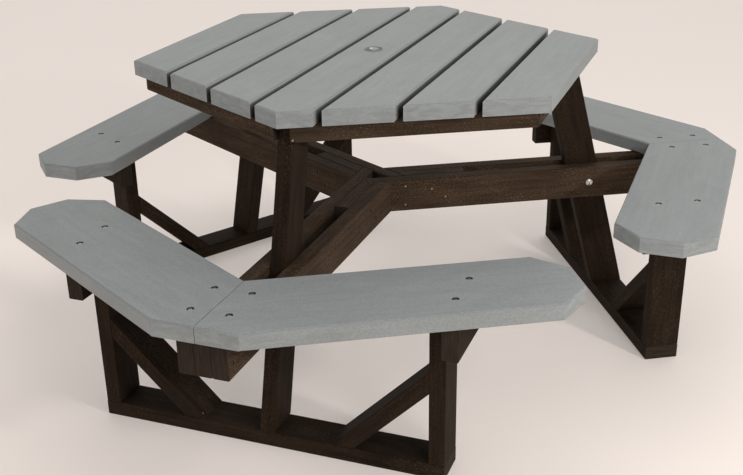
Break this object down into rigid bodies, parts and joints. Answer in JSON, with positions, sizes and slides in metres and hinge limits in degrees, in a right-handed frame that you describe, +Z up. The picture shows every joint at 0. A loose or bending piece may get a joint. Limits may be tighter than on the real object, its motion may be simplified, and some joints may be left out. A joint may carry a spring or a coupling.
{
  "type": "picnic table",
  "caption": "Hexagonal picnic table of plastic lumber: plank top on leaning legs, radial arms meeting at an open hub, mitred benches on braced base frames and a lift-out umbrella plug.",
  "frame": {"origin": "on the floor under the middle of the bounding box; the hub's axis is 47.9 mm along +Y from it", "axes": "+Z up, +Y along the top's boards, away from the front bench; the front leg, arm and bench are on the -Y side, and +X is to the right seen from there"},
  "size_m": [1.8462, 1.9232, 0.7638],
  "materials": {
    "grey_board": "grey recycled plastic lumber, fine mottle and long faint streaks, rounded arrises",
    "brown_board": "dark brown recycled plastic lumber, speckled, slightly paler worn arrises",
    "plug_plastic": "plain grey moulded plastic",
    "stainless": "stainless steel, satin"
  },
  "bodies": {
    "table": {"top_board_1": "grey_board", "top_board_2": "grey_board", "top_board_3": "grey_board", "top_board_4": "grey_board", "top_board_5": "grey_board", "top_board_6": "grey_board", "top_board_7": "grey_board", "front_leg": "brown_board", "front_leg_bolt": "stainless", "front_arm_long_board": "brown_board", "front_arm_short_board": "brown_board", "front_arm_inner_spacer": "brown_board", "front_arm_outer_spacer": "brown_board", "front_sill": "brown_board", "front_post_ccw": "brown_board", "front_post_cw": "brown_board", "front_brace_ccw": "brown_board", "front_brace_cw": "brown_board", "front_cleat_ccw": "brown_board", "front_cleat_cw": "brown_board", "front_rail_ccw": "brown_board", "front_rail_cw": "brown_board", "front_seat_ccw": "grey_board", "front_seat_cw": "grey_board", "right_leg": "brown_board", "right_leg_bolt": "stainless", "right_arm_long_board": "brown_board", "right_arm_short_board": "brown_board", "right_arm_inner_spacer": "brown_board", "right_arm_outer_spacer": "brown_board", "right_sill": "brown_board", "right_post_ccw": "brown_board", "right_post_cw": "brown_board", "right_brace_ccw": "brown_board", "right_brace_cw": "brown_board", "right_cleat_ccw": "brown_board", "right_cleat_cw": "brown_board", "right_rail_ccw": "brown_board", "right_rail_cw": "brown_board", "right_seat_ccw": "grey_board", "right_seat_cw": "grey_board", "left_leg": "brown_board", "left_leg_bolt": "stainless", "left_arm_long_board": "brown_board", "left_arm_short_board": "brown_board", "left_arm_inner_spacer": "brown_board", "left_arm_outer_spacer": "brown_board", "left_sill": "brown_board", "left_post_ccw": "brown_board", "left_post_cw": "brown_board", "left_brace_ccw": "brown_board", "left_brace_cw": "brown_board", "left_cleat_ccw": "brown_board", "left_cleat_cw": "brown_board", "left_rail_ccw": "brown_board", "left_rail_cw": "brown_board", "left_seat_ccw": "grey_board", "left_seat_cw": "grey_board"},
    "plug": {"umbrella_plug": "plug_plastic"}
  },
  "joints": [
    {"name": "plug_lift", "type": "slide", "parent": "table", "child": "plug", "axis": [0, 0, 1], "range_m": [0, 0.04]}
  ]
}
